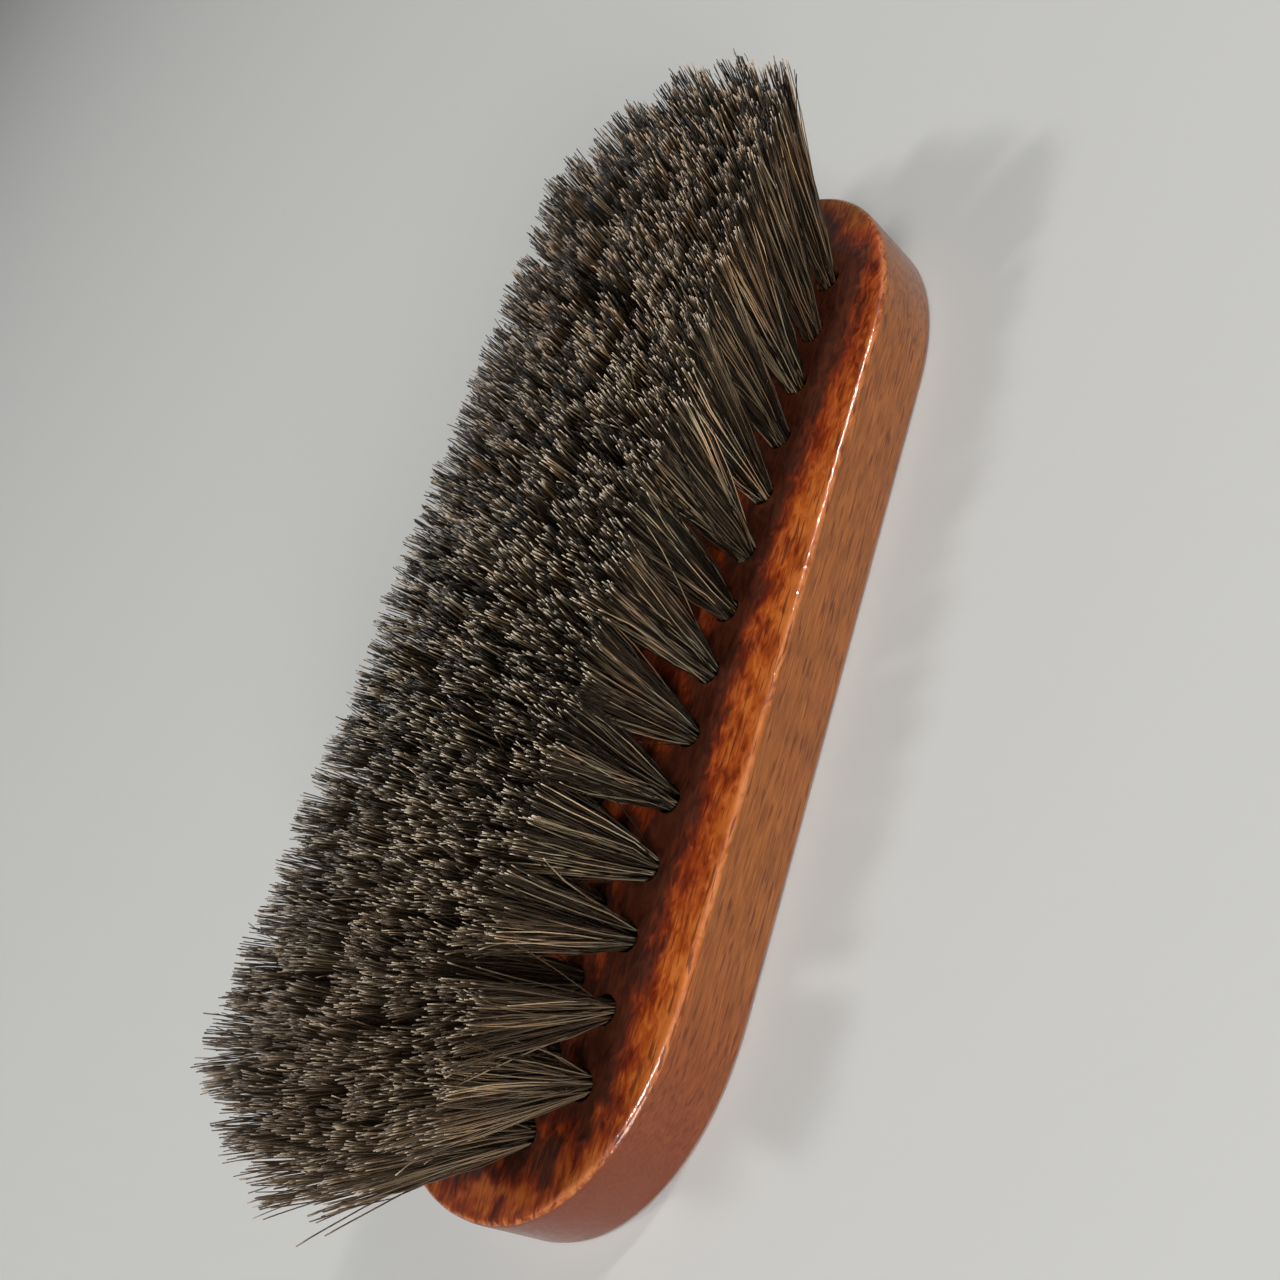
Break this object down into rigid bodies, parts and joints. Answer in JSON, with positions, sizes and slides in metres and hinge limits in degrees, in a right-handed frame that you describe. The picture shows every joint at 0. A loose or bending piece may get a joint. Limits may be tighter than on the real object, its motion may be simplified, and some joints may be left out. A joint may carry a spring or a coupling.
{
  "type": "horsehair palm brush",
  "caption": "Oblong palm brush: a stained beech block with rounded ends, set with flaring tufts of horsehair that are trimmed flat.",
  "frame": {"origin": "centre of the block's flat back, where the brush stands with its bristles up", "axes": "+X along the block, +Y across it, +Z out of the back towards the bristle tips"},
  "size_m": [0.1788, 0.057, 0.0432],
  "materials": {
    "block_wood": "red-brown stained beech under glossy lacquer",
    "horsehair": "mixed grey, brown and black horsehair with paler cut ends",
    "anchor_wire": "flat galvanised staple wire"
  },
  "bodies": {
    "root": {"block": "block_wood", "tuft_a_01": "horsehair", "tuft_a_02": "horsehair", "tuft_a_03": "horsehair", "tuft_a_04": "horsehair", "tuft_a_05": "horsehair", "tuft_a_06": "horsehair", "tuft_a_07": "horsehair", "tuft_a_08": "horsehair", "tuft_a_09": "horsehair", "tuft_a_10": "horsehair", "tuft_a_11": "horsehair", "tuft_a_12": "horsehair", "tuft_a_13": "horsehair", "tuft_a_14": "horsehair", "tuft_b_01": "horsehair", "tuft_b_02": "horsehair", "tuft_b_03": "horsehair", "tuft_b_04": "horsehair", "tuft_b_05": "horsehair", "tuft_b_06": "horsehair", "tuft_b_07": "horsehair", "tuft_b_08": "horsehair", "tuft_b_09": "horsehair", "tuft_b_10": "horsehair", "tuft_b_11": "horsehair", "tuft_b_12": "horsehair", "tuft_b_13": "horsehair", "tuft_b_14": "horsehair", "tuft_b_15": "horsehair", "tuft_d_01": "horsehair", "tuft_d_02": "horsehair", "tuft_d_03": "horsehair", "tuft_d_04": "horsehair", "tuft_d_05": "horsehair", "tuft_d_06": "horsehair", "tuft_d_07": "horsehair", "tuft_d_08": "horsehair", "tuft_d_09": "horsehair", "tuft_d_10": "horsehair", "tuft_d_11": "horsehair", "tuft_d_12": "horsehair", "tuft_d_13": "horsehair", "tuft_d_14": "horsehair", "tuft_d_15": "horsehair", "tuft_e_01": "horsehair", "tuft_e_02": "horsehair", "tuft_e_03": "horsehair", "tuft_e_04": "horsehair", "tuft_e_05": "horsehair", "tuft_e_06": "horsehair", "tuft_e_07": "horsehair", "tuft_e_08": "horsehair", "tuft_e_09": "horsehair", "tuft_e_10": "horsehair", "tuft_e_11": "horsehair", "tuft_e_12": "horsehair", "tuft_e_13": "horsehair", "tuft_e_14": "horsehair", "tuft_row_c": "horsehair"}
  },
  "joints": []
}
